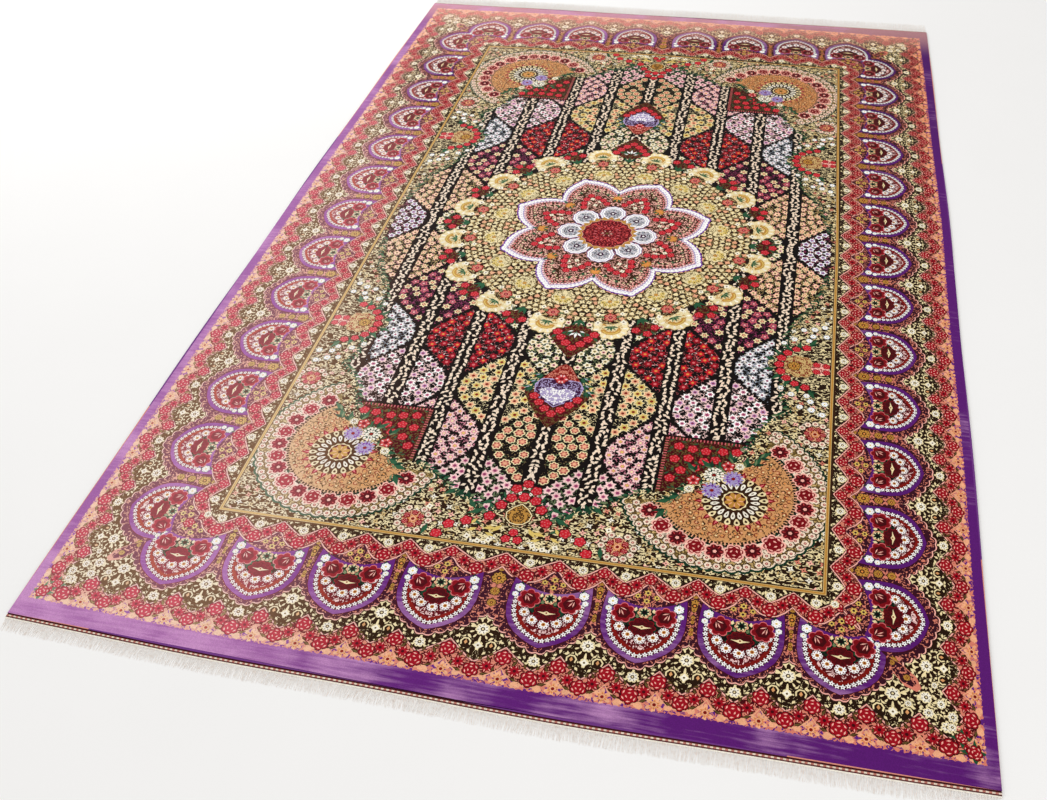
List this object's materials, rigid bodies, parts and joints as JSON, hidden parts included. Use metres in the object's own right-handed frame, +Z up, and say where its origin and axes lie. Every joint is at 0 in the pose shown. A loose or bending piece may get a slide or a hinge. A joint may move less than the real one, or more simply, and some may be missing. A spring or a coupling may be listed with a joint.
{
  "type": "persian rug",
  "caption": "Rectangular knotted silk rug lying flat, with a woven strip and a row of loose warp fringe at each end.",
  "frame": {"origin": "on the floor under the middle of the rug's box, fringes included", "axes": "+Y along the rug's length towards its far end, +X across it, +Z up out of the pile"},
  "size_m": [1.6226, 2.7192, 0.004],
  "materials": {
    "pile": "knotted silk pile with a soft sheen",
    "warp": "undyed twisted silk warp, matt"
  },
  "bodies": {
    "root": {"rug_body": "pile", "fringe_near": "warp", "fringe_far": "warp"}
  },
  "joints": []
}
